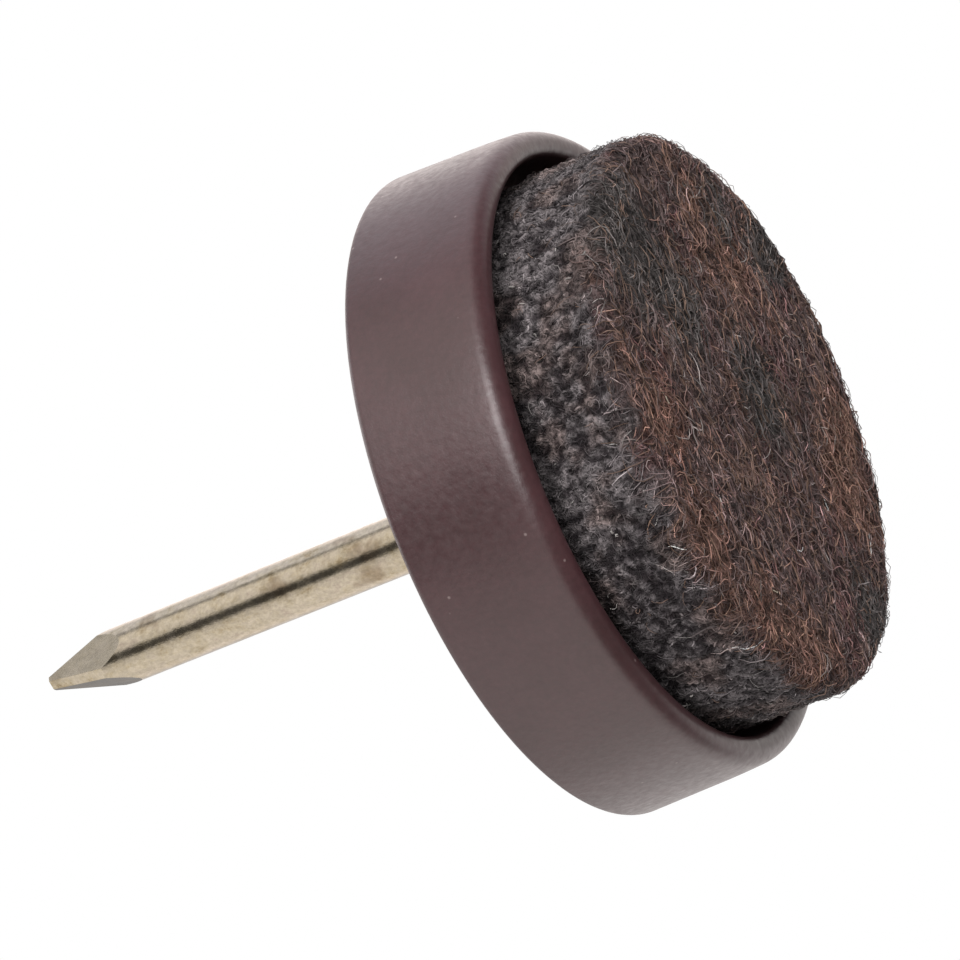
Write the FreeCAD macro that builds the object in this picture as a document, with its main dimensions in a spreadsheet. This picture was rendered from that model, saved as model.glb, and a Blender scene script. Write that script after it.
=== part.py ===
"""Nail-on furniture glide: a moulded plastic cup, a felt disc glued inside it and a plated wire nail.

Millimetres. The glide stands on its felt: the origin is the centre of the felt's floor face and
+Z runs up the nail, which is driven into the end of a furniture leg.
"""

import FreeCAD, Part
import os

import Sketcher

doc = FreeCAD.newDocument("furniture_glide")

# Driving sizes, one row each: name, value, what it sets
DRIVING = [
    ("cup_dia", 22.0, "cup across the face that meets the leg"),
    ("cup_height", 4.9, "cup from that face to its open rim"),
    ("cup_draft", 2.2, "taper of the outside wall towards the rim, in degrees"),
    ("cup_wall", 0.95, "thickness of the wall at the rim"),
    ("cup_floor", 2.3, "thickness of the cup's floor"),
    ("rim_round", 0.55, "rounding of the rim's outer edge"),
    ("lip_round", 0.3, "rounding of the rim's inner edge"),
    ("leg_edge_round", 0.3, "rounding of the edge beside the leg"),
    ("felt_thickness", 6.0, "felt from the cup's floor to the room's floor"),
    ("felt_clearance", 0.45, "gap all round between the felt and the wall"),
    ("felt_round", 0.5, "rounding of the felt's floor edge"),
    ("nail_dia", 2.0, "shank of the nail"),
    ("nail_length", 20.0, "nail from under its head to its point"),
    ("neck_dia", 2.4, "thicker neck of the nail, inside the cup's floor"),
    ("neck_clearance", 0.02, "gap round the neck in the cup's floor"),
    ("head_dia", 6.0, "flat head of the nail"),
    ("head_height", 1.0, "thickness of the head and depth of its pocket"),
    ("head_round", 0.2, "rounding of the head's lower edge"),
    ("head_clearance", 0.1, "gap round the head in its pocket"),
    ("point_length", 3.4, "length of the four faces of the point"),
    ("point_half", 0.2, "half the thickness left at the blunt tip"),
    ("point_angle", 100.0, "turn from one face of the point to the next, in degrees"),
    ("edge_length", 2.5, "length of the narrow flats on the two sharp edges"),
    ("edge_half", 0.12, "half the width between those flats at the tip"),
    ("overcut", 0.2, "how far each cut of the point runs past the metal"),
]
sizes = doc.addObject("Spreadsheet::Sheet", "Sizes")
for row, (name, value, meaning) in enumerate(DRIVING, start=1):
    sizes.set(f"A{row}", name)
    sizes.set(f"B{row}", str(value))
    sizes.setAlias(f"B{row}", name)
    sizes.set(f"C{row}", meaning)
doc.recompute()

# Heights above the room's floor
CUP_FLOOR = "Sizes.felt_thickness"
HEAD_SEAT = "(Sizes.felt_thickness + Sizes.head_height)"
LEG_FACE = "(Sizes.felt_thickness + Sizes.cup_floor)"
RIM = f"({LEG_FACE} - Sizes.cup_height)"
TIP = f"({HEAD_SEAT} + Sizes.nail_length)"

# Radii from the nail's axis
CUP_R = "Sizes.cup_dia / 2"
RIM_R = "(Sizes.cup_dia / 2 - Sizes.cup_height * tan(Sizes.cup_draft))"
BORE_R = f"({RIM_R} - Sizes.cup_wall)"
FELT_R = f"({BORE_R} - Sizes.felt_clearance)"
SHANK_R = "Sizes.nail_dia / 2"
NECK_R = "Sizes.neck_dia / 2"
NECK_HOLE_R = f"({NECK_R} + Sizes.neck_clearance)"
HEAD_R = "Sizes.head_dia / 2"
POCKET_R = f"({HEAD_R} + Sizes.head_clearance)"


def number(text):
    """The present value of a size written with the sheet's names."""
    value = sizes.evalExpression(text)
    return float(getattr(value, "Value", value))


def origin_part(body, role):
    for feature in body.Origin.OriginFeatures:
        if feature.Role == role:
            return feature
    raise RuntimeError(f"{body.Label} has no {role}")


def outline(body, name, corners, turn=None):
    """A closed sketch through the corners, each (name, radius, height), on the upright plane.

    Every corner is tied to the axis and the floor by named constraints that read the sheet.
    turn swings the plane about the nail's axis.
    """
    sketch = body.newObject("Sketcher::SketchObject", name)
    sketch.AttachmentSupport = [(origin_part(body, "XZ_Plane"), "")]
    sketch.MapMode = "FlatFace"
    if turn:
        upright = FreeCAD.Vector(0, 1, 0)
        swing = FreeCAD.Rotation(upright, number(turn))
        sketch.AttachmentOffset = FreeCAD.Placement(FreeCAD.Vector(0, 0, 0), swing)
        sketch.setExpression("AttachmentOffset.Rotation.Angle", turn)
    spots = [FreeCAD.Vector(number(r), number(z), 0) for _, r, z in corners]
    for start, end in zip(spots, spots[1:] + spots[:1]):
        sketch.addGeometry(Part.LineSegment(start, end), False)
    for i in range(len(corners)):
        after = (i + 1) % len(corners)
        sketch.addConstraint(Sketcher.Constraint("Coincident", i, 2, after, 1))
    for i, (corner, r, z) in enumerate(corners):
        for kind, letter, text in (("DistanceX", "r", r), ("DistanceY", "z", z)):
            if text == "0":
                axis = -2 if kind == "DistanceX" else -1
                sketch.addConstraint(Sketcher.Constraint("PointOnObject", i, 1, axis))
                continue
            tie = Sketcher.Constraint(kind, -1, 1, i, 1, number(text))
            index = sketch.addConstraint(tie)
            sketch.renameConstraint(index, f"{corner}_{letter}")
            sketch.setExpression(f"Constraints.{corner}_{letter}", text)
    return sketch


def turned(body, name, sketch):
    """The solid that a half section makes when it is turned about the nail's axis."""
    solid = body.newObject("PartDesign::Revolution", name)
    solid.Profile = sketch
    solid.ReferenceAxis = (origin_part(body, "Z_Axis"), [""])
    solid.Angle = 360
    doc.recompute()
    return solid


def rounded(body, name, base, radius, height, size):
    """Rounds the circular edge of that radius at that height."""
    edges = []
    for i, edge in enumerate(base.Shape.Edges, start=1):
        curve = edge.Curve
        if not isinstance(curve, Part.Circle):
            continue
        same_radius = abs(curve.Radius - number(radius)) < 1e-4
        same_height = abs(curve.Center.z - number(height)) < 1e-4
        if same_radius and same_height:
            edges.append(f"Edge{i}")
    if not edges:
        raise RuntimeError(f"{name} finds no edge to round")
    fillet = body.newObject("PartDesign::Fillet", name)
    fillet.Base = (base, edges)
    fillet.setExpression("Radius", size)
    doc.recompute()
    return fillet


def cut_through(body, name, sketch):
    """Cuts the sketch right through the metal, to both sides of its plane."""
    before = body.Tip.Shape.Volume
    pocket = body.newObject("PartDesign::Pocket", name)
    pocket.Profile = sketch
    pocket.Type = "ThroughAll"
    pocket.SideType = "Symmetric"
    doc.recompute()
    if not pocket.Shape.Volume < before:
        raise RuntimeError(f"{name} takes nothing away")
    return pocket


# The cup: moulded brown plastic, with a pocket in its floor for the nail's head
cup = doc.addObject("PartDesign::Body", "cup")
cup.Label = "cup"
cup_section = outline(
    cup,
    "cup_section",
    [
        ("hole_top", NECK_HOLE_R, LEG_FACE),
        ("leg_edge", CUP_R, LEG_FACE),
        ("rim_outer", RIM_R, RIM),
        ("rim_inner", BORE_R, RIM),
        ("bore_end", BORE_R, CUP_FLOOR),
        ("pocket_mouth", POCKET_R, CUP_FLOOR),
        ("pocket_end", POCKET_R, HEAD_SEAT),
        ("hole_bottom", NECK_HOLE_R, HEAD_SEAT),
    ],
)
cup_turned = turned(cup, "cup_turned", cup_section)
rim_rounded = rounded(cup, "rim_rounded", cup_turned, RIM_R, RIM, "Sizes.rim_round")
lip_rounded = rounded(cup, "lip_rounded", rim_rounded, BORE_R, RIM, "Sizes.lip_round")
cup.Tip = rounded(cup, "leg_edge_rounded", lip_rounded, CUP_R, LEG_FACE, "Sizes.leg_edge_round")

# The nail: wire with a flat head, a thicker neck in the cup's floor and a pinched four-sided point
nail = doc.addObject("PartDesign::Body", "nail")
nail.Label = "nail"
nail_section = outline(
    nail,
    "nail_section",
    [
        ("head_centre", "0", CUP_FLOOR),
        ("head_edge", HEAD_R, CUP_FLOOR),
        ("head_seat", HEAD_R, HEAD_SEAT),
        ("neck_start", NECK_R, HEAD_SEAT),
        ("neck_end", NECK_R, LEG_FACE),
        ("shank_start", SHANK_R, LEG_FACE),
        ("shank_end", SHANK_R, TIP),
        ("tip_centre", "0", TIP),
    ],
)
nail_turned = turned(nail, "nail_turned", nail_section)
nail.Tip = rounded(nail, "head_rounded", nail_turned, HEAD_R, CUP_FLOOR, "Sizes.head_round")


def point_cut(name, length, half, turn=None):
    """One sloping cut of the point: half is what it leaves at the tip, length how far it runs down."""
    slope = f"(({SHANK_R} - {half}) / {length})"
    outside = f"({SHANK_R} + Sizes.overcut * {slope})"
    above = f"({TIP} + Sizes.overcut)"
    section = outline(
        nail,
        f"{name}_section",
        [
            ("low", outside, f"{TIP} - {length} - Sizes.overcut"),
            ("outer", outside, above),
            ("inner", f"{half} - Sizes.overcut * {slope}", above),
        ],
        turn,
    )
    return cut_through(nail, name, section)


cuts = [
    point_cut("face_left", "Sizes.point_length", "Sizes.point_half", "Sizes.point_angle / 2"),
    point_cut("face_right", "Sizes.point_length", "Sizes.point_half", "-Sizes.point_angle / 2"),
    point_cut("edge_flat", "Sizes.edge_length", "Sizes.edge_half"),
]
point = nail.newObject("PartDesign::PolarPattern", "point_both_sides")
point.Originals = cuts
point.Axis = (origin_part(nail, "Z_Axis"), [""])
point.Angle = 360
point.Occurrences = 2
nail.Tip = point

# The felt: a disc glued to the cup's floor, proud of the rim
felt = doc.addObject("PartDesign::Body", "felt_pad")
felt.Label = "felt_pad"
felt_section = outline(
    felt,
    "felt_section",
    [
        ("floor_centre", "0", "0"),
        ("floor_edge", FELT_R, "0"),
        ("glued_edge", FELT_R, CUP_FLOOR),
        ("glued_centre", "0", CUP_FLOOR),
    ],
)
felt_turned = turned(felt, "felt_turned", felt_section)
felt.Tip = rounded(felt, "felt_rounded", felt_turned, FELT_R, "0", "Sizes.felt_round")

doc.recompute()

# Nothing goes out unless every feature is sound
for item in doc.Objects:
    if "Invalid" in item.State or "Error" in item.State:
        raise RuntimeError(f"{item.Name} did not compute: {item.State}")
os.makedirs("parts", exist_ok=True)
for body in (cup, nail, felt):
    shape = body.Shape
    if shape.isNull() or not shape.isValid() or len(shape.Solids) != 1:
        raise RuntimeError(f"{body.Label} is not one sound solid")
    shape.exportStep(f"parts/{body.Label}.step")
    print(body.Label, round(shape.Volume, 2), shape.BoundBox)
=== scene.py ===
"""A nail-on furniture glide: a brown plastic cup, a coarse felt disc and a plated nail.

It stands on its felt, with the nail up. Metres, in the part's own frame.
"""

import math

import bpy
import numpy as np
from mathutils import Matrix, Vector, noise


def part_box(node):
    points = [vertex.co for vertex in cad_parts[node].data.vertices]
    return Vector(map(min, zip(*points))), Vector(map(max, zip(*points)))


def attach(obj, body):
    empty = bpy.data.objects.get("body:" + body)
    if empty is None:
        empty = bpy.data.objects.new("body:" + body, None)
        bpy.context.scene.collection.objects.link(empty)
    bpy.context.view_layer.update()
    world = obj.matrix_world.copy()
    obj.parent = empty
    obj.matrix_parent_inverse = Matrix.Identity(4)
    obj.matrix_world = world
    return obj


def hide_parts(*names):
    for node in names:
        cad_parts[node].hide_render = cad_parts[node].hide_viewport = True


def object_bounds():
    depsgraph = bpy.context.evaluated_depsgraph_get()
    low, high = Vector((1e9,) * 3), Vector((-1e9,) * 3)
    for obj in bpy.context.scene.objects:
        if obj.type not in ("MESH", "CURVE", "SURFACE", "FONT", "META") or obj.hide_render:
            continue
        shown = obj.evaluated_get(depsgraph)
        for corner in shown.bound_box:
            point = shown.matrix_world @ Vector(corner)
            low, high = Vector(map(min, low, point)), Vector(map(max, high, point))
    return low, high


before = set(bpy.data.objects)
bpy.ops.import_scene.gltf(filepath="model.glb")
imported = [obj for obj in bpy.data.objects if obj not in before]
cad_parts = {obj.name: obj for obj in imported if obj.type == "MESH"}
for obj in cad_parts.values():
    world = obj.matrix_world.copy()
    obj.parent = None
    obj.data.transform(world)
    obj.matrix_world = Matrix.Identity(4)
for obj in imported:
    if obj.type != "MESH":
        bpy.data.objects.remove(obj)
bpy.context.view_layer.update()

# Cup
# One moulding in plum-brown plastic, satin from a finely etched mould. The flat side meets the
# leg. The open side holds the felt inside a soft shoulder, and the floor holds the nail's head.
MM = 0.001
cup_low, cup_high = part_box("cup")
LEG_FACE = cup_high.z
RIM = cup_low.z
CUP_R = 11.0 * MM
CUP_DRAFT = math.radians(2.2)
RIM_R = CUP_R - (LEG_FACE - RIM) * math.tan(CUP_DRAFT)
CUP_WALL = 0.95 * MM
CUP_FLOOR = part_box("felt_pad")[1].z
HEAD_HEIGHT = 1.0 * MM
HEAD_SEAT = CUP_FLOOR + HEAD_HEIGHT
POCKET_R = 3.1 * MM
NECK_HOLE_R = 1.22 * MM
CUP_SIDES = 288
RIM_ROUND = 0.55 * MM
LIP_ROUND = 0.3 * MM
LEG_EDGE_ROUND = 0.3 * MM
SHOULDER = 1.9 * MM
SHOULDER_DEPTH = 0.07 * MM
SHOULDER_CUTS = (0.4, 0.52, 0.64, 0.76, 0.88, 1.0)
SAME_HEIGHT = 0.002 * MM
SAME_RADIUS = 0.02 * MM
CLOSE_BY = 0.01 * MM
ON_AXIS = 0.1 * MM
CUT_SNAP = 1e-7


def choose(piece, kind, test):
    """Selects the faces or edges of a piece that pass a test of their place, in edit mode."""
    bpy.ops.object.mode_set(mode="EDIT")
    bpy.ops.mesh.select_mode(type=kind)
    bpy.ops.mesh.select_all(action="DESELECT")
    bpy.ops.object.mode_set(mode="OBJECT")
    mesh = piece.data
    if kind == "FACE":
        for face in mesh.polygons:
            face.select = test(face.center, face.normal)
    else:
        for edge in mesh.edges:
            start, end = (mesh.vertices[i].co for i in edge.vertices)
            edge.select = test(start, end)
    bpy.ops.object.mode_set(mode="EDIT")


def ring(radius, height):
    """A test for the edges that run round the axis at this radius and height."""

    def fits(start, end):
        for spot in (start, end):
            if abs(spot.z - height) > SAME_HEIGHT:
                return False
            if abs(math.hypot(spot.x, spot.y) - radius) > SAME_RADIUS:
                return False
        return True

    return fits


def finish_edges(piece, angle):
    """Smooth shading that keeps the flat faces flat beside their rounded edges."""
    bpy.ops.object.mode_set(mode="OBJECT")
    bpy.ops.object.shade_smooth_by_angle(angle=math.radians(angle))
    bpy.ops.object.modifier_add(type="WEIGHTED_NORMAL")
    piece.modifiers[-1].keep_sharp = True
    bpy.ops.object.modifier_apply(modifier=piece.modifiers[-1].name)


bpy.ops.object.select_all(action="DESELECT")
bpy.ops.mesh.primitive_cylinder_add(
    vertices=CUP_SIDES, radius=CUP_R, depth=LEG_FACE - RIM, location=(0, 0, (LEG_FACE + RIM) / 2)
)
cup = bpy.context.object
cup.name = "cup_moulding"
bpy.ops.object.transform_apply(location=True, rotation=True, scale=True)
choose(cup, "FACE", lambda place, normal: normal.z < -0.9)
draft = RIM_R / CUP_R
bpy.ops.transform.resize(value=(draft, draft, 1))
bpy.ops.mesh.inset(thickness=CUP_WALL, depth=0)
bpy.ops.mesh.extrude_region_move(TRANSFORM_OT_translate={"value": (0, 0, CUP_FLOOR - RIM)})
bpy.ops.mesh.inset(thickness=RIM_R - CUP_WALL - POCKET_R, depth=0)
bpy.ops.mesh.extrude_region_move(TRANSFORM_OT_translate={"value": (0, 0, HEAD_SEAT - CUP_FLOOR)})
bpy.ops.mesh.inset(thickness=POCKET_R - NECK_HOLE_R, depth=0)
choose(cup, "FACE", lambda place, normal: normal.z > 0.9 and place.z > LEG_FACE - CLOSE_BY)
bpy.ops.mesh.inset(thickness=CUP_R - NECK_HOLE_R, depth=0)


def hole_end(place, normal):
    """The small round faces left at both ends of the nail's hole."""
    if math.hypot(place.x, place.y) > ON_AXIS:
        return False
    return place.z > HEAD_SEAT - CLOSE_BY


choose(cup, "FACE", hole_end)
bpy.ops.mesh.bridge_edge_loops()
choose(cup, "EDGE", ring(RIM_R, RIM))
bpy.ops.mesh.bevel(offset=RIM_ROUND, segments=10, profile=0.5, affect="EDGES")
choose(cup, "EDGE", ring(RIM_R - CUP_WALL, RIM))
bpy.ops.mesh.bevel(offset=LIP_ROUND, segments=6, profile=0.5, affect="EDGES")
choose(cup, "EDGE", ring(CUP_R, LEG_FACE))
bpy.ops.mesh.bevel(offset=LEG_EDGE_ROUND, segments=6, profile=0.5, affect="EDGES")
for share in SHOULDER_CUTS:
    height = RIM + share * SHOULDER
    bpy.ops.mesh.select_all(action="SELECT")
    bpy.ops.mesh.bisect(plane_co=(0, 0, height), plane_no=(0, 0, 1), threshold=CUT_SNAP)
bpy.ops.mesh.select_all(action="SELECT")
bpy.ops.mesh.normals_make_consistent(inside=False)
bpy.ops.object.mode_set(mode="OBJECT")
for spot in cup.data.vertices:
    out = math.hypot(spot.co.x, spot.co.y)
    below = 1 - (spot.co.z - RIM) / SHOULDER
    if below > 0 and out > RIM_R - RIM_ROUND:
        outside = min(1, (out - RIM_R + RIM_ROUND) / RIM_ROUND)
        inward = 1 - SHOULDER_DEPTH * below ** 2 * outside / out
        spot.co.x *= inward
        spot.co.y *= inward
finish_edges(cup, 40)


def dye(red, green, blue):
    """A colour as read on a screen, 0 to 255, as the linear colour of a shader."""
    shades = []
    for part in (red, green, blue):
        share = part / 255
        shades.append(share / 12.92 if share <= 0.04045 else ((share + 0.055) / 1.055) ** 2.4)
    return (*shades, 1.0)


def new_material(name):
    """A node material, with its node tree and its principled shader."""
    material = bpy.data.materials.new(name)
    material.use_nodes = True
    tree = material.node_tree
    return material, tree, tree.nodes["Principled BSDF"]


def grain(tree, scale, detail, stretch=(1, 1, 1), roughness=0.55):
    """A noise on the piece's own coordinates, so many cells to the metre, drawn out by stretch."""
    where = tree.nodes.new("ShaderNodeTexCoord")
    turn = tree.nodes.new("ShaderNodeMapping")
    turn.inputs["Scale"].default_value = stretch
    cells = tree.nodes.new("ShaderNodeTexNoise")
    cells.inputs["Scale"].default_value = scale
    cells.inputs["Detail"].default_value = detail
    cells.inputs["Roughness"].default_value = roughness
    tree.links.new(where.outputs["Object"], turn.inputs["Vector"])
    tree.links.new(turn.outputs["Vector"], cells.inputs["Vector"])
    return cells.outputs["Fac"]


def shades(tree, factor, stops):
    """Colours laid along a factor: each stop is (place, colour)."""
    ramp = tree.nodes.new("ShaderNodeValToRGB")
    marks = ramp.color_ramp.elements
    while len(marks) < len(stops):
        marks.new(0.5)
    for mark, (place, colour) in zip(marks, stops):
        mark.position = place
        mark.color = colour
    tree.links.new(factor, ramp.inputs["Fac"])
    return ramp.outputs["Color"]


def levels(tree, factor, low, high):
    """A factor spread from low to high."""
    span = tree.nodes.new("ShaderNodeMapRange")
    span.inputs["From Min"].default_value = 0.3
    span.inputs["From Max"].default_value = 0.7
    span.inputs["To Min"].default_value = low
    span.inputs["To Max"].default_value = high
    tree.links.new(factor, span.inputs["Value"])
    return span.outputs["Result"]


def rise(tree, value, low, high):
    """Nought where a value is below low, one above high, and a smooth rise between."""
    span = tree.nodes.new("ShaderNodeMapRange")
    span.interpolation_type = "SMOOTHSTEP"
    span.inputs["From Min"].default_value = low
    span.inputs["From Max"].default_value = high
    tree.links.new(value, span.inputs["Value"])
    return span.outputs["Result"]


def reckon(tree, kind, *values):
    """A sum of this kind on outputs and plain numbers."""
    node = tree.nodes.new("ShaderNodeMath")
    node.operation = kind
    for socket, value in zip(node.inputs, values):
        if isinstance(value, (int, float)):
            socket.default_value = value
        else:
            tree.links.new(value, socket)
    return node.outputs["Value"]


def tinted(tree, kind, factor, first, second):
    """Two colours, or outputs of colours, mixed by a factor."""
    mix = tree.nodes.new("ShaderNodeMix")
    mix.data_type = "RGBA"
    mix.blend_type = kind
    for name, value in (("Factor", factor), ("A", first), ("B", second)):
        if isinstance(value, (int, float, tuple)):
            mix.inputs[name].default_value = value
        else:
            tree.links.new(value, mix.inputs[name])
    return mix.outputs["Result"]


def bumps(tree, shader, *layers):
    """Bump layers on a shader, each (height, depth in metres)."""
    last = None
    for height, depth in layers:
        bump = tree.nodes.new("ShaderNodeBump")
        bump.inputs["Strength"].default_value = 1.0
        bump.inputs["Distance"].default_value = depth
        tree.links.new(height, bump.inputs["Height"])
        if last:
            tree.links.new(last, bump.inputs["Normal"])
        last = bump.outputs["Normal"]
    tree.links.new(last, shader.inputs["Normal"])


brown_plastic, tree, shader = new_material("plum_brown_plastic")
cloudy = grain(tree, 350, 3)
plastic_tones = shades(
    tree, cloudy, [(0.3, dye(63, 36, 38)), (0.52, dye(68, 40, 43)), (0.7, dye(73, 44, 47))]
)
mottled = levels(tree, grain(tree, 5200, 3, roughness=0.7), 0.86, 1.14)
plastic_tones = tinted(tree, "MULTIPLY", 1.0, plastic_tones, mottled)
dust = tree.nodes.new("ShaderNodeTexVoronoi")
dust.inputs["Scale"].default_value = 1100
dust_place = tree.nodes.new("ShaderNodeTexCoord")
tree.links.new(dust_place.outputs["Object"], dust.inputs["Vector"])
speck = rise(tree, dust.outputs["Distance"], 0.075, 0.03)
kept_few = reckon(tree, "GREATER_THAN", grain(tree, 460, 0), 0.42)
speck = reckon(tree, "MULTIPLY", reckon(tree, "MULTIPLY", speck, kept_few), 0.4)
speckled = tinted(tree, "MIX", speck, plastic_tones, dye(168, 150, 146))
tree.links.new(speckled, shader.inputs["Base Color"])
shader.inputs["Specular IOR Level"].default_value = 1.0
etched = grain(tree, 4200, 3)
tree.links.new(levels(tree, etched, 0.32, 0.44), shader.inputs["Roughness"])
bumps(tree, shader, (etched, 0.012 * MM), (grain(tree, 700, 2), 0.006 * MM))
cup.data.materials.append(brown_plastic)
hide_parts("cup")
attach(cup, "root")

# Nail
# Drawn steel wire with a flat head, plated in pale gold. Its point was pinched to four faces
# with a narrow flat on each of the two sharp edges. The head lies in the cup's floor.
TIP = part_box("nail")[1].z
NAIL_R = 1.0 * MM
NECK_R = 1.2 * MM
HEAD_R = 3.0 * MM
POINT_LENGTH = 3.4 * MM
POINT_HALF = 0.2 * MM
POINT_TURN = math.radians(50)
EDGE_LENGTH = 2.5 * MM
EDGE_HALF = 0.12 * MM
HEAD_ROUND = 0.2 * MM
EDGE_BEVEL = 0.045 * MM
END_RING = 0.4 * MM
FACE_TILT = (0.2, 0.26)
NAIL_SIDES = 160

bpy.ops.object.select_all(action="DESELECT")
bpy.ops.mesh.primitive_cylinder_add(
    vertices=NAIL_SIDES,
    radius=HEAD_R,
    depth=HEAD_SEAT - CUP_FLOOR,
    location=(0, 0, (HEAD_SEAT + CUP_FLOOR) / 2),
)
nail = bpy.context.object
nail.name = "wire_nail"
bpy.ops.object.transform_apply(location=True, rotation=True, scale=True)
choose(nail, "FACE", lambda place, normal: normal.z > 0.9)
bpy.ops.mesh.inset(thickness=HEAD_R - NECK_R, depth=0)
bpy.ops.mesh.extrude_region_move(TRANSFORM_OT_translate={"value": (0, 0, LEG_FACE - HEAD_SEAT)})
bpy.ops.mesh.inset(thickness=NECK_R - NAIL_R, depth=0)
bpy.ops.mesh.extrude_region_move(TRANSFORM_OT_translate={"value": (0, 0, TIP - LEG_FACE)})
for height in (LEG_FACE + END_RING, TIP - POINT_LENGTH - END_RING):
    bpy.ops.mesh.select_all(action="SELECT")
    bpy.ops.mesh.bisect(plane_co=(0, 0, height), plane_no=(0, 0, 1), threshold=CUT_SNAP)


def pinch(turn, length, half):
    """Cuts one sloping face of the point, square to this turn about the axis."""
    slope = math.atan2(NAIL_R - half, length)
    flat = math.cos(slope)
    normal = (flat * math.cos(turn), flat * math.sin(turn), math.sin(slope))
    bpy.ops.mesh.select_all(action="SELECT")
    bpy.ops.mesh.bisect(
        plane_co=(half * math.cos(turn), half * math.sin(turn), TIP),
        plane_no=normal,
        use_fill=True,
        clear_outer=True,
        threshold=CUT_SNAP,
    )


for side in (0, math.pi):
    pinch(side + POINT_TURN, POINT_LENGTH, POINT_HALF)
    pinch(side - POINT_TURN, POINT_LENGTH, POINT_HALF)
    pinch(side, EDGE_LENGTH, EDGE_HALF)
bpy.ops.mesh.select_all(action="SELECT")
bpy.ops.mesh.normals_make_consistent(inside=False)
choose(nail, "EDGE", ring(HEAD_R, CUP_FLOOR))
bpy.ops.mesh.bevel(offset=HEAD_ROUND, segments=4, profile=0.5, affect="EDGES")
bpy.ops.object.mode_set(mode="OBJECT")
bpy.ops.object.modifier_add(type="BEVEL")
nail.modifiers[-1].width = EDGE_BEVEL
nail.modifiers[-1].segments = 3
nail.modifiers[-1].limit_method = "ANGLE"
nail.modifiers[-1].angle_limit = math.radians(44)
bpy.ops.object.modifier_apply(modifier=nail.modifiers[-1].name)
finish_edges(nail, 10)

# The four faces of the point are known by their tilt, and one pair of them is scuffed less
scuffs = nail.data.attributes.new(name="pinched", type="FLOAT", domain="FACE")
for face in nail.data.polygons:
    if FACE_TILT[0] < face.normal.z < FACE_TILT[1]:
        scuffs.data[face.index].value = 0.6 if face.normal.x * face.normal.y > 0 else 1.0

pale_gold, tree, shader = new_material("pale_gold_plating")
drawn_marks = grain(tree, 1600, 4, stretch=(1, 1, 0.3), roughness=0.7)
blotched = grain(tree, 1500, 5, stretch=(1, 1, 0.7), roughness=0.75)
plating_tones = shades(
    tree,
    blotched,
    [
        (0.3, dye(166, 148, 118)),
        (0.42, dye(196, 183, 160)),
        (0.55, dye(206, 194, 175)),
        (0.7, dye(188, 173, 158)),
    ],
)
smudge = reckon(tree, "MULTIPLY", rise(tree, grain(tree, 620, 3), 0.55, 0.72), 0.62)
plating_tones = tinted(tree, "MIX", smudge, plating_tones, dye(140, 118, 94))
sparkle = levels(tree, grain(tree, 6000, 2, roughness=0.7), 0.84, 1.12)
plating_tones = tinted(tree, "MULTIPLY", 1.0, plating_tones, sparkle)
point_faces = tree.nodes.new("ShaderNodeAttribute")
point_faces.attribute_name = "pinched"
pinched = point_faces.outputs["Fac"]
scuffed = shades(tree, drawn_marks, [(0.35, dye(149, 144, 135)), (0.65, dye(167, 160, 148))])
worn_plating = tinted(tree, "MIX", pinched, plating_tones, scuffed)
tree.links.new(worn_plating, shader.inputs["Base Color"])
shader.inputs["Metallic"].default_value = 1.0
shader.inputs["Specular Tint"].default_value = (0.62, 0.64, 0.68, 1.0)
drawn = grain(tree, 4200, 4, stretch=(1, 1, 0.6), roughness=0.7)
polish = levels(tree, drawn, 0.1, 0.26)
tree.links.new(reckon(tree, "MULTIPLY_ADD", pinched, 0.12, polish), shader.inputs["Roughness"])
bumps(tree, shader, (drawn, 0.008 * MM), (grain(tree, 900, 2), 0.01 * MM))
nail.data.materials.append(pale_gold)
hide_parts("nail")
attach(nail, "root")

# Felt
# A disc punched from thick pressed wool felt and glued to the cup's floor, a little off centre.
# The wool is matted into clumps, grey on the cut side and brown, auburn and charcoal on the face.
FELT_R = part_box("felt_pad")[1].x
FELT_ROUND = 0.6 * MM
FELT_TOP = CUP_FLOOR
FELT_SIDES = 128
FELT_CELL = 0.1 * MM
MAT_DEPTH = 0.05 * MM
TOP_SKIN = 0.05 * MM
OFF_CENTRE = np.array([0.0, -0.1, 0.0]) * MM
# Heights where painted shade darkens the felt's side at the cup's rim
PAINTED_SHADE_FROM = 3.0 * MM
PAINTED_SHADE_TO = 3.5 * MM
FLAT_FROM = 4.6 * MM
FLAT_TO = 5.6 * MM


def field(points, size, seed):
    """A smooth random field in space, about -1 to 1, whose lumps are about this size."""
    spots = points.reshape(-1, 3) / size + seed
    return np.array([noise.noise(Vector(spot)) for spot in spots]).reshape(points.shape[:-1])


def ease(value, low, high):
    """Nought below low, one above high, and a smooth rise between."""
    share = np.clip((value - low) / (high - low), 0, 1)
    return share * share * (3 - 2 * share)


def clumps(points):
    """How far the wool is gathered at a point: tufts are high, the pits between them low."""
    shifted = points + 0.25 * MM * field(points, 0.9 * MM, 5.0)[..., None]
    coarse = 0.3 * field(shifted, 0.6 * MM, 3.0)
    coarse = coarse + 0.8 * field(shifted[..., [2, 0, 1]], 0.3 * MM, 7.0)
    return coarse + 0.5 * field(points[..., [1, 2, 0]], 0.13 * MM, 11.0)


def side_share(points):
    """Nought on the disc's face and one on its cut side, with an uneven border between."""
    border = points[..., 2] + 0.6 * MM * field(points, 0.7 * MM, 51.0)
    return ease(border, 0.0, 0.9 * MM)


def pits(points):
    """Painted shade between the face's tufts: what is left of the light, a little over one on a
    tuft.
    """
    depth = field(points, 0.3 * MM, 71.0) + 0.6 * field(points, 0.14 * MM, 73.0)
    hidden = 0.6 - 0.7 * ease(depth, -0.45, 0.2)
    return 1 - hidden * (1 - side_share(points))


def relief(points):
    """How far the matted wool stands out of the plain disc."""
    tufts = clumps(points) * (0.07 + 0.02 * side_share(points))
    return (tufts + 0.05 * field(points, 1.7 * MM, 13.0)) * MM


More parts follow.
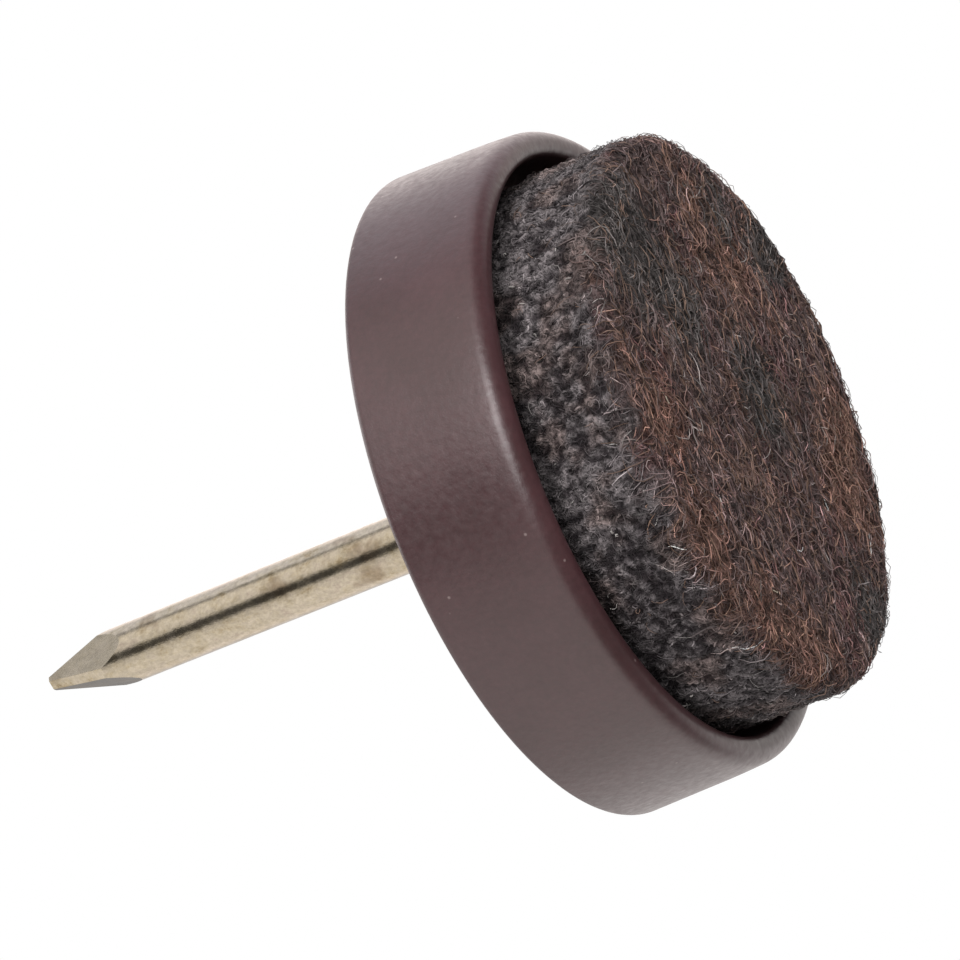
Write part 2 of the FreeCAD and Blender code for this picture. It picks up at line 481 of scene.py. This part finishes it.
BROWN = np.array(dye(81, 68, 67))
OXBLOOD = np.array(dye(80, 57, 56))
AUBURN = np.array(dye(101, 74, 64))
CHARCOAL = np.array(dye(66, 63, 62))
CUT_DARK = np.array(dye(46, 41, 43))
CUT_LIGHT = np.array(dye(120, 113, 114))
TAN_WOOL = np.array(dye(148, 118, 100))
PALE_WOOL = np.array(dye(172, 166, 162))
DARK_WOOL = np.array(dye(34, 29, 30))
WARM_CAST = np.array([1.12, 0.99, 0.92, 1.0])
DYE_LIMITS = (0.004, 0.9)
CHARCOAL_PATCHES = [
    (2.4, 7.2, 2.6), (1.0, 4.4, 1.8), (-1.3, -0.1, 1.8), (-5.5, 4.7, 1.1), (-7.6, 2.3, 1.5),
    (-0.9, -8.6, 1.6),
]
AUBURN_PATCHES = [
    (-4.0, 5.9, 1.1), (-4.4, 3.4, 1.3), (6.7, 3.0, 1.5), (-6.0, -3.7, 1.6), (8.0, -0.8, 1.5),
    (-3.9, -5.2, 1.9), (6.9, -4.0, 1.5), (5.6, -6.3, 1.6),
]
PALE_PATCHES = [(3.0, 8.9, 1.7), (9.0, 2.6, 1.2), (7.4, -5.8, 1.6), (-0.8, 9.4, 1.6)]
# Places of painted shade on the cut side
PAINTED_SHADE_PATCHES = [(8.0, 5.0, 1.6), (9.4, -0.4, 1.8), (9.0, -2.8, 1.6)]


def blend(first, second, share):
    """Two colours, or arrays of colours, mixed by an array of shares."""
    return first + (second - first) * share[..., None]


def patches(points, rows):
    """How far points lie in patches of other wool or of painted shade, each (across, along, size)
    in millimetres.
    """
    ragged = 0.5 * field(points, 0.9 * MM, 23.0) + 0.3 * field(points, 0.35 * MM, 29.0)
    share = np.zeros(points.shape[:-1])
    for across, along, size in rows:
        away = np.hypot(points[..., 0] / MM - across, points[..., 1] / MM - along) / size
        share = np.maximum(share, ease(ragged - away, -1.25, -0.75))
    return share


def wool_tone_and_painted_shade(points):
    """The wool's colour at these points, with painted shade in it, before each fibre differs from
    it.
    """
    rust = field(points, 1.6 * MM, 37.0) + 0.6 * field(points, 0.6 * MM, 41.0)
    gathered = clumps(points)
    face = blend(BROWN, AUBURN, 0.8 * ease(rust, 0.12, 0.6))
    face = blend(face, OXBLOOD, ease(-rust, 0.05, 0.5))
    face = blend(face, AUBURN, 0.75 * patches(points, AUBURN_PATCHES))
    face = blend(face, CHARCOAL, 0.9 * patches(points, CHARCOAL_PATCHES))
    # Lighter on the tufts and darker in the pits: partly the wool's own mottling, partly painted
    # shade.
    face = face * (1.48 + 0.8 * gathered)[..., None]
    # The pale patches are lighter wool; the other patches are painted shade.
    lift = 0.1 * patches(points, PALE_PATCHES) - 0.12 * patches(points, PAINTED_SHADE_PATCHES)
    # The cut side is likewise lighter on its tufts and darker in its pits, partly painted shade.
    cut = blend(CUT_DARK, CUT_LIGHT, ease(gathered + lift, -0.4, 0.5))
    # Painted shade: the cut side darkens from just below the cup's rim up into the cup, where the
    # wool gets little light.
    cut = cut * (1 - 0.6 * ease(points[..., 2], PAINTED_SHADE_FROM, PAINTED_SHADE_TO))[..., None]
    cut = blend(cut, cut * WARM_CAST, ease(rust, -0.1, 0.4))
    return np.clip(blend(face, cut, side_share(points)), *DYE_LIMITS)


bpy.ops.object.select_all(action="DESELECT")
bpy.ops.mesh.primitive_cylinder_add(
    vertices=FELT_SIDES,
    radius=FELT_R - MAT_DEPTH,
    depth=FELT_TOP - MAT_DEPTH,
    location=(0, 0, (FELT_TOP + MAT_DEPTH) / 2),
)
felt = bpy.context.object
felt.name = "felt_disc"
bpy.ops.object.transform_apply(location=True, rotation=True, scale=True)
choose(felt, "EDGE", ring(FELT_R - MAT_DEPTH, MAT_DEPTH))
bpy.ops.mesh.bevel(offset=FELT_ROUND, segments=6, profile=0.5, affect="EDGES")
bpy.ops.object.mode_set(mode="OBJECT")
bpy.ops.object.modifier_add(type="REMESH")
felt.modifiers[-1].mode = "VOXEL"
felt.modifiers[-1].voxel_size = FELT_CELL
bpy.ops.object.modifier_apply(modifier=felt.modifiers[-1].name)
choose(felt, "FACE", lambda place, normal: normal.z > 0.99 and place.z > FELT_TOP - TOP_SKIN)
bpy.ops.mesh.dissolve_faces()
bpy.ops.object.mode_set(mode="OBJECT")
count = len(felt.data.vertices)
places = np.empty(count * 3, np.float32)
felt.data.vertices.foreach_get("co", places)
places = places.reshape(-1, 3).astype(float)
facing = np.empty(count * 3, np.float32)
felt.data.vertex_normals.foreach_get("vector", facing)
facing = facing.reshape(-1, 3).astype(float)
in_cup = ease(places[:, 2], FLAT_FROM, FLAT_TO)
raised = places + OFF_CENTRE + facing * (relief(places) * (1 - in_cup))[:, None]
felt.data.vertices.foreach_set("co", raised.astype(np.float32).ravel())
felt.data.update()
matted = felt.data.color_attributes.new(name="wool_dye_and_painted_shade", type="FLOAT_COLOR", domain="POINT")
# Painted shade on the mat under the fibres: darker in the pits, and darker all over the face, where
# fibres lie on it.
mat_with_painted_shade = wool_tone_and_painted_shade(places) * (pits(places) * (0.7 + 0.3 * side_share(places)))[:, None]
matted.data.foreach_set("color", mat_with_painted_shade.astype(np.float32).ravel())
bpy.ops.object.shade_smooth()

felt_body, tree, shader = new_material("matted_wool")
dye_and_painted_shade = tree.nodes.new("ShaderNodeAttribute")
dye_and_painted_shade.attribute_name = "wool_dye_and_painted_shade"


def hairs(tree, scale, turn, drawn_out):
    """Fine curved lines of wool, combed along a turn about the axis.

    It is one on a hair and nought beside it.
    """
    where = tree.nodes.new("ShaderNodeTexCoord")
    comb = tree.nodes.new("ShaderNodeMapping")
    comb.inputs["Rotation"].default_value = (0, 0, -math.radians(turn))
    comb.inputs["Scale"].default_value = (drawn_out, 1, 1)
    curls = tree.nodes.new("ShaderNodeTexNoise")
    curls.inputs["Scale"].default_value = scale
    curls.inputs["Detail"].default_value = 1.5
    curls.inputs["Distortion"].default_value = 0.5
    tree.links.new(where.outputs["Object"], comb.inputs["Vector"])
    tree.links.new(comb.outputs["Vector"], curls.inputs["Vector"])
    off = reckon(tree, "ABSOLUTE", reckon(tree, "SUBTRACT", curls.outputs["Fac"], 0.5))
    return rise(tree, off, 0.07, 0.0)


mesh_of_hairs = reckon(tree, "MAXIMUM", hairs(tree, 3600, -70, 0.45), hairs(tree, 4400, -20, 0.6))
mesh_of_hairs = reckon(tree, "MAXIMUM", mesh_of_hairs, hairs(tree, 3000, 50, 0.7))
fluff = grain(tree, 9000, 3, roughness=0.7)
hair_light = reckon(tree, "MULTIPLY_ADD", mesh_of_hairs, 0.7, levels(tree, fluff, 0.0, 1.2))
shaded = tinted(tree, "MULTIPLY", 1.0, dye_and_painted_shade.outputs["Color"], hair_light)
tree.links.new(shaded, shader.inputs["Base Color"])
shader.inputs["Roughness"].default_value = 0.9
shader.inputs["Specular IOR Level"].default_value = 0.15
bumps(tree, shader, (fluff, 0.05 * MM), (mesh_of_hairs, 0.03 * MM))
felt.data.materials.append(felt_body)
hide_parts("felt_pad")
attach(felt, "root")

# Felt fibres
# Single wool fibres, dyed or natural, drawn out of the disc by carding and cutting. Each is a
# thin closed strand with its ends in the mat: combed in locks on the face, cut short on the side
# and pulled up into long loops in a few places.
COMBED = math.radians(-70)
FACE_REACH = FELT_R + 0.15 * MM
SIDE_FROM = FELT_R + 0.1 * MM
SIDE_TO = FELT_R + 3.6 * MM
LOOP_SPOTS = np.array([(-4.0, 5.9), (-4.4, 3.4), (-3.9, -5.2), (-5.6, -3.9), (3.0, -1.5)]) * MM
drawing_lots = np.random.default_rng(41)


def over_edge(across, along, lift):
    """Points of a flat sheet laid over the disc's face, its rounded edge and down its side.

    across and along are metres on the sheet from the disc's centre, lift stands off the surface.
    """
    reach = np.maximum(np.hypot(across, along), 1e-9)
    flat = FELT_R - MAT_DEPTH - FELT_ROUND
    bend = np.clip((reach - flat) / FELT_ROUND, 0, math.pi / 2)
    beyond = np.maximum(reach - flat - FELT_ROUND * math.pi / 2, 0)
    radius = np.minimum(reach, flat) + FELT_ROUND * np.sin(bend) + lift * np.sin(bend)
    height = MAT_DEPTH + FELT_ROUND * (1 - np.cos(bend)) + beyond - lift * np.cos(bend)
    return np.stack([radius * across / reach, radius * along / reach, height], axis=-1)


def wander(start, heading, length, points, curl, shake):
    """Paths on the sheet, one a row, that leave their starts on their headings and bend."""
    count = len(start)
    step = (length / (points - 1))[:, None]
    bend = drawing_lots.normal(0, curl, count)[:, None] * np.linspace(-0.5, 0.5, points)
    jitter = np.cumsum(drawing_lots.normal(0, shake, (count, points)), axis=1)
    angle = heading[:, None] + bend + jitter
    across = start[:, :1] + np.cumsum(np.cos(angle) * step, axis=1)
    along = start[:, 1:] + np.cumsum(np.sin(angle) * step, axis=1)
    return across, along


wool, tree, shader = new_material("wool_fibre")
tint = tree.nodes.new("ShaderNodeAttribute")
tint.attribute_name = "fibre_dye_and_painted_shade"
tree.links.new(tint.outputs["Color"], shader.inputs["Base Color"])
shader.inputs["Roughness"].default_value = 0.55
shader.inputs["Specular IOR Level"].default_value = 0.3


def strands(name, paths, width, colours):
    """Closed three-sided strands along the paths, each with its colour and painted shade in the
    pits, as one piece.
    """
    outline = bpy.data.curves.new(f"{name}_section", "CURVE")
    loop = outline.splines.new("POLY")
    loop.points.add(2)
    for corner, point in enumerate(loop.points):
        turn = corner * 2 * math.pi / 3
        point.co = (math.cos(turn), math.sin(turn), 0, 1)
    loop.use_cyclic_u = True
    section = bpy.data.objects.new(f"{name}_section", outline)
    bpy.context.scene.collection.objects.link(section)
    count, points = paths.shape[:2]
    curve = bpy.data.curves.new(name, "CURVE")
    curve.dimensions = "3D"
    curve.bevel_mode = "OBJECT"
    curve.bevel_object = section
    curve.use_fill_caps = True
    taper = np.sin(np.linspace(0.2, math.pi - 0.2, points)) ** 0.5
    places = np.concatenate([paths, np.ones((count, points, 1))], axis=2).astype(np.float32)
    radii = (taper * width[:, None] / 2).astype(np.float32)
    for place, radius in zip(places, radii):
        spline = curve.splines.new("POLY")
        spline.points.add(points - 1)
        spline.points.foreach_set("co", place.ravel())
        spline.points.foreach_set("radius", radius)
    piece = bpy.data.objects.new(name, curve)
    bpy.context.scene.collection.objects.link(piece)
    bpy.ops.object.select_all(action="DESELECT")
    piece.select_set(True)
    bpy.context.view_layer.objects.active = piece
    bpy.ops.object.convert(target="MESH")
    piece = bpy.context.object
    bpy.data.objects.remove(section)
    # The end caps' corners come first, from the last strand to the first, and then the tubes'
    end_colours = np.repeat(colours[::-1], 6, axis=0)
    tube_colours = np.repeat(colours, 3 * points, axis=0)
    corners = np.empty(len(piece.data.vertices) * 3, np.float32)
    piece.data.vertices.foreach_get("co", corners)
    # Painted shade: each strand darkens where it lies in a pit between tufts.
    left = pits(corners.reshape(-1, 3).astype(float) - OFF_CENTRE)
    colours_with_painted_shade = np.concatenate([end_colours, tube_colours]) * left[:, None]
    fibre_colour_layer = piece.data.color_attributes.new(name="fibre_dye_and_painted_shade", type="FLOAT_COLOR", domain="POINT")
    fibre_colour_layer.data.foreach_set("color", colours_with_painted_shade.astype(np.float32).ravel())
    bpy.ops.object.mode_set(mode="EDIT")
    bpy.ops.mesh.select_all(action="SELECT")
    bpy.ops.mesh.remove_doubles(threshold=0.0001 * MM)
    bpy.ops.object.mode_set(mode="OBJECT")
    piece.data.materials.append(wool)
    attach(piece, "root")


def fibre_colours(middles, shade, tan_share, pale_share, dark_share):
    """Each fibre takes the wool's tone and painted shade where it lies; a few are tan, pale or dark
    instead.
    """
    count = len(middles)
    strayed = np.repeat(drawing_lots.normal(0, 0.45 * MM, (count // 3 + 1, 3)), 3, axis=0)[:count]
    strayed[:, 2] = 0.0
    colours = wool_tone_and_painted_shade(middles + strayed * (1 - side_share(middles))[:, None])
    colours[:, :3] *= shade[:, None]
    odd = drawing_lots.uniform(0, 1, count)
    for low, high, single in (
        (0, tan_share, TAN_WOOL),
        (tan_share, tan_share + pale_share, PALE_WOOL),
        (1 - dark_share, 1, DARK_WOOL),
    ):
        chosen = (odd >= low) & (odd < high)
        colours[chosen] = 0.4 * colours[chosen] + 0.6 * single
    colours[:, :3] *= np.exp(drawing_lots.normal(0, 0.35, (count, 1)))
    return np.clip(colours, *DYE_LIMITS)


def drawn_from(low, high, count):
    """So many lengths, drawn evenly between two that are given in millimetres."""
    return drawing_lots.uniform(low * MM, high * MM, count)


def lay(name, fibres, points, length, curl, shake, sink, rise_to, width, odd_shares):
    """Fibres laid on the wool, arched from sunk ends to a raised middle.

    fibres holds their starts, headings and shades. length, sink, rise_to and width are in
    millimetres, and odd_shares are the shares of tan, pale and dark fibres.
    """
    start, heading, shade = fibres
    count = len(start)
    span = drawn_from(*length, count)
    across, along = wander(start, heading, span, points, curl, shake)
    middles = over_edge(across[:, points // 2], along[:, points // 2], 0.0)
    surface = relief(over_edge(across, along, 0.0))
    low = drawn_from(-sink, 0, count)[:, None]
    high = drawn_from(*rise_to, count)[:, None]
    arch = np.sin(np.linspace(0, math.pi, points))
    paths = over_edge(across, along, surface + low + (high - low) * arch) + OFF_CENTRE
    wide = drawn_from(*width, count)
    strands(name, paths, wide, fibre_colours(middles, shade, *odd_shares))


def spread(count, inner, outer):
    """Places spread evenly over a ring of the sheet."""
    reach = np.sqrt(drawing_lots.uniform(inner ** 2, outer ** 2, count))
    turn = drawing_lots.uniform(0, 2 * math.pi, count)
    return np.stack([reach * np.cos(turn), reach * np.sin(turn)], axis=1)


def locks(count, each, shade):
    """Fibres of the face gathered in locks of so many, all combed about one way."""
    centres = spread(count // each, 0.0, FACE_REACH)
    flat = np.concatenate([centres, np.zeros((len(centres), 1))], axis=1)
    heading = COMBED + 1.4 * field(flat, 1.5 * MM, 61.0) + drawing_lots.normal(0, 0.5, len(centres))
    tone = shade * np.exp(drawing_lots.normal(0, 0.45, len(centres)))
    start = np.repeat(centres, each, axis=0)
    start = start + drawing_lots.normal(0, 0.13 * MM, start.shape)
    heading = np.repeat(heading, each) + drawing_lots.normal(0, 0.5, len(start))
    return start, heading, np.repeat(tone, each)


def scattered(count, shade, inner, outer):
    """Single fibres that lie any way, on a ring of the sheet."""
    heading = drawing_lots.uniform(0, 2 * math.pi, count)
    return spread(count, inner, outer), heading, np.full(count, shade)


def gathered_at(spots, each, shade):
    """So many fibres round each of these spots, that lie any way."""
    start = np.repeat(spots, each, axis=0)
    start = start + drawing_lots.normal(0, 0.6 * MM, start.shape)
    heading = drawing_lots.uniform(0, 2 * math.pi, len(start))
    return start, heading, np.full(len(start), shade)


# The under layer's lower shade is painted shade under the face fibres.
lay(
    "felt_fibres_under",
    locks(9000, 6, shade=0.75),
    points=4,
    length=(0.4, 1.0),
    curl=1.6,
    shake=0.3,
    sink=0.04,
    rise_to=(0.0, 0.03),
    width=(0.03, 0.05),
    odd_shares=(0.03, 0.0, 0.12),
)
lay(
    "felt_fibres_face",
    locks(7200, 6, shade=1.5),
    points=5,
    length=(0.45, 1.35),
    curl=2.0,
    shake=0.4,
    sink=0.05,
    rise_to=(0.0, 0.07),
    width=(0.026, 0.046),
    odd_shares=(0.1, 0.01, 0.08),
)
lay(
    "felt_fibres_loose",
    scattered(2400, shade=1.35, inner=0.0, outer=FELT_R - 0.4 * MM),
    points=7,
    length=(0.7, 1.9),
    curl=1.5,
    shake=0.28,
    sink=0.05,
    rise_to=(0.03, 0.14),
    width=(0.028, 0.046),
    odd_shares=(0.25, 0.02, 0.08),
)
lay(
    "felt_fibres_side",
    scattered(9000, shade=1.0, inner=SIDE_FROM, outer=SIDE_TO),
    points=4,
    length=(0.14, 0.36),
    curl=4.0,
    shake=0.45,
    sink=0.05,
    rise_to=(0.0, 0.07),
    width=(0.04, 0.08),
    odd_shares=(0.0, 0.01, 0.15),
)
lay(
    "felt_fibres_fuzz",
    scattered(1300, shade=1.1, inner=SIDE_FROM, outer=SIDE_TO),
    points=6,
    length=(0.3, 0.9),
    curl=2.4,
    shake=0.4,
    sink=0.05,
    rise_to=(0.03, 0.14),
    width=(0.018, 0.026),
    odd_shares=(0.05, 0.03, 0.05),
)
lay(
    "felt_fibres_edge",
    scattered(750, shade=1.1, inner=FELT_R - 0.6 * MM, outer=FELT_R + 0.7 * MM),
    points=5,
    length=(0.4, 1.1),
    curl=0.9,
    shake=0.2,
    sink=0.05,
    rise_to=(0.03, 0.2),
    width=(0.016, 0.026),
    odd_shares=(0.1, 0.03, 0.1),
)
lay(
    "felt_fibres_loops",
    gathered_at(LOOP_SPOTS, 45, shade=1.6),
    points=9,
    length=(1.2, 2.6),
    curl=4.0,
    shake=0.35,
    sink=0.05,
    rise_to=(0.06, 0.2),
    width=(0.026, 0.042),
    odd_shares=(0.55, 0.02, 0.0),
)

# Stage
# A pale floor under the felt, seen from above only, and an even light. What mirrors on the glide
# is a light tent: cool on the upper side, bright behind, dark at the look-in and low at the table.
LOOK_IN = math.radians(18)
FLOOR_GAP = 0.02 * MM
CLOTH = (0.96, 0.93, 0.89, 1.0)
COOL_CLOTH = (0.97, 0.98, 1.04, 1.0)
BACKDROP = (2.3, 2.12, 2.04, 1.0)
LOWER_BACK = (1.25, 1.19, 1.16, 1.0)
OVERHEAD_LOSS = 0.45
LOW_LOSS = 0.88
EVEN_LIGHT = (0.64, 0.64, 0.64, 1.0)
TABLE_LIGHT = (0.3, 0.3, 0.3, 1.0)
WHITE = (1.0, 1.0, 1.0, 1.0)
LAMP_AIM = Vector((0, 0, 6 * MM))
floor_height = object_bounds()[0].z - FLOOR_GAP
bpy.ops.object.select_all(action="DESELECT")
bpy.ops.mesh.primitive_plane_add(size=3.0, location=(0, 0, floor_height))
floor = bpy.context.object
floor.name = "floor"
pale_floor, tree, shader = new_material("pale_floor")
shader.inputs["Base Color"].default_value = (0.9, 0.9, 0.9, 1)
shader.inputs["Roughness"].default_value = 0.9
shader.inputs["Specular IOR Level"].default_value = 0.0
side_seen = tree.nodes.new("ShaderNodeNewGeometry")
open_under = tree.nodes.new("ShaderNodeBsdfTransparent")
one_sided = tree.nodes.new("ShaderNodeMixShader")
tree.links.new(side_seen.outputs["Backfacing"], one_sided.inputs["Fac"])
tree.links.new(shader.outputs["BSDF"], one_sided.inputs[1])
tree.links.new(open_under.outputs["BSDF"], one_sided.inputs[2])
tree.links.new(one_sided.outputs["Shader"], tree.nodes["Material Output"].inputs["Surface"])
floor.data.materials.append(pale_floor)
floor.visible_diffuse = False
floor.visible_glossy = False
floor.visible_transmission = False
floor.visible_shadow = False

tent = bpy.data.worlds.new("light_tent")
bpy.context.scene.world = tent
tent.use_nodes = True
tree = tent.node_tree
wall = tree.nodes["Background"]
way = tree.nodes.new("ShaderNodeTexCoord")
parts = tree.nodes.new("ShaderNodeSeparateXYZ")
tree.links.new(way.outputs["Generated"], parts.inputs["Vector"])
bearing = reckon(tree, "ARCTAN2", parts.outputs["Y"], parts.outputs["X"])
upward = parts.outputs["Z"]


def away_from(turn):
    """How far round the tent, either way, from this many degrees past the look-in."""
    off = reckon(tree, "SUBTRACT", bearing, LOOK_IN + math.radians(turn))
    return reckon(tree, "ABSOLUTE", reckon(tree, "WRAP", off, math.pi, -math.pi))


def round_from(turn, low, high):
    """Nought to one as the way round the tent from a turn goes from low to high, in degrees."""
    return rise(tree, away_from(turn), math.radians(low), math.radians(high))


def gap(turn, half, soft, left):
    """A dimmer strip of the tent: what is left of the light inside it, one outside."""
    outside = round_from(turn, half - soft, half + soft)
    return reckon(tree, "MULTIPLY_ADD", outside, 1.0 - left, left)


lit = reckon(tree, "MULTIPLY", gap(3, 16, 6, 0.1), gap(0, 30, 26, 0.72))
lit = reckon(tree, "MULTIPLY", lit, gap(86, 7, 6, 0.36))
upper_side = round_from(118, 44, 22)
backdrop = reckon(tree, "MULTIPLY", round_from(0, 122, 160), round_from(130, 64, 50))
backdrop = reckon(tree, "MULTIPLY", backdrop, rise(tree, upward, -0.35, 0.2))
lower_back = round_from(-140, 42, 15)
cloth = tinted(tree, "MIX", upper_side, CLOTH, COOL_CLOTH)
cloth = tinted(tree, "MIX", backdrop, cloth, BACKDROP)
cloth = tinted(tree, "MIX", lower_back, cloth, LOWER_BACK)
overhead = reckon(tree, "MULTIPLY", round_from(0, 75, 110), rise(tree, upward, 0.45, 0.6))
lit = reckon(tree, "MULTIPLY", lit, reckon(tree, "MULTIPLY_ADD", overhead, -OVERHEAD_LOSS, 1.0))
table = rise(tree, upward, -0.4, -0.8)
low_down = reckon(tree, "MULTIPLY", rise(tree, upward, -0.12, -0.42), round_from(180, 25, 60))
low_down = reckon(tree, "MAXIMUM", low_down, table)
lit = reckon(tree, "MULTIPLY", lit, reckon(tree, "MULTIPLY_ADD", low_down, -LOW_LOSS, 1.0))
mirrored = tinted(tree, "MULTIPLY", 1.0, cloth, lit)
seen = tree.nodes.new("ShaderNodeLightPath")
even = tinted(tree, "MIX", table, EVEN_LIGHT, TABLE_LIGHT)
glow = tinted(tree, "MIX", seen.outputs["Is Glossy Ray"], even, mirrored)
glow = tinted(tree, "MIX", seen.outputs["Is Transmission Ray"], glow, WHITE)
glow = tinted(tree, "MIX", seen.outputs["Is Camera Ray"], glow, WHITE)
tree.links.new(glow, wall.inputs["Color"])
wall.inputs["Strength"].default_value = 1.0


def soft_box(name, place, width, height, power):
    """A soft lamp of this width and height that faces the glide."""
    bpy.ops.object.light_add(type="AREA", location=place)
    lamp = bpy.context.object
    lamp.name = name
    towards = LAMP_AIM - Vector(place)
    lamp.rotation_euler = towards.to_track_quat("-Z", "Y").to_euler()
    lamp.data.shape = "RECTANGLE"
    lamp.data.size = width
    lamp.data.size_y = height
    lamp.data.energy = power
    return lamp


key_lamp = soft_box("key_lamp", (0.21, 0.2, -0.14), width=0.24, height=0.3, power=0.8)
key_lamp.visible_glossy = False
sheen_lamp = soft_box("sheen_lamp", (0.225, 0.215, -0.068), width=0.18, height=0.18, power=0.5)
sheen_lamp.visible_diffuse = False
sky_lamp = soft_box("sky_lamp", (-0.1, 0.4, -0.15), width=0.3, height=0.3, power=0.68)
sky_lamp.visible_glossy = False
soft_box("top_lamp", (-0.1, 0.1, 0.45), width=0.3, height=0.3, power=0.3)

bpy.ops.object.camera_add(
    location=(0.15096, 0.050081, -0.059748), rotation=(0.708863, 2.125587, 1.103974)
)
camera = bpy.context.object
camera.data.lens = 201.07
camera.data.sensor_width = 36.0
camera.data.clip_start = 0.005
camera.data.clip_end = 20.0
bpy.context.scene.camera = camera
bpy.context.scene.view_settings.view_transform = "Standard"
